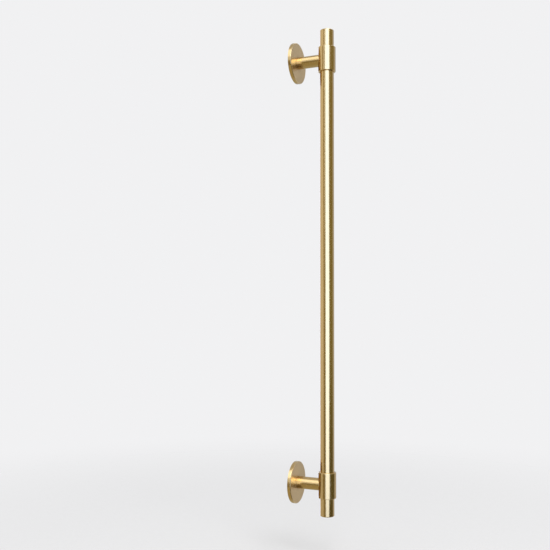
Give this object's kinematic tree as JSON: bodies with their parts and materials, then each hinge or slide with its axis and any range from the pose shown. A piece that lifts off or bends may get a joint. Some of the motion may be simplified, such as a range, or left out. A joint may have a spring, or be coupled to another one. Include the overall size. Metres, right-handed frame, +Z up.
{
  "type": "door pull handle",
  "caption": "Long round satin-brass pull bar for a door, held off the door face by a sleeve collar, a turned post and a round rose near each end.",
  "frame": {"origin": "on the door face, midway between the two fixing centres", "axes": "+Z up along the bar, +Y into the door, so the bar stands out towards -Y; +X is to the right seen from the front"},
  "size_m": [0.058, 0.0611, 0.685],
  "materials": {
    "satin_brass": "satin, fine turned lines",
    "screw_steel": "plain"
  },
  "bodies": {
    "root": {"bar": "satin_brass", "upper_collar": "satin_brass", "lower_collar": "satin_brass", "upper_post": "satin_brass", "lower_post": "satin_brass", "upper_rose": "satin_brass", "lower_rose": "satin_brass", "upper_locking_screw": "screw_steel", "lower_locking_screw": "screw_steel"}
  },
  "joints": []
}
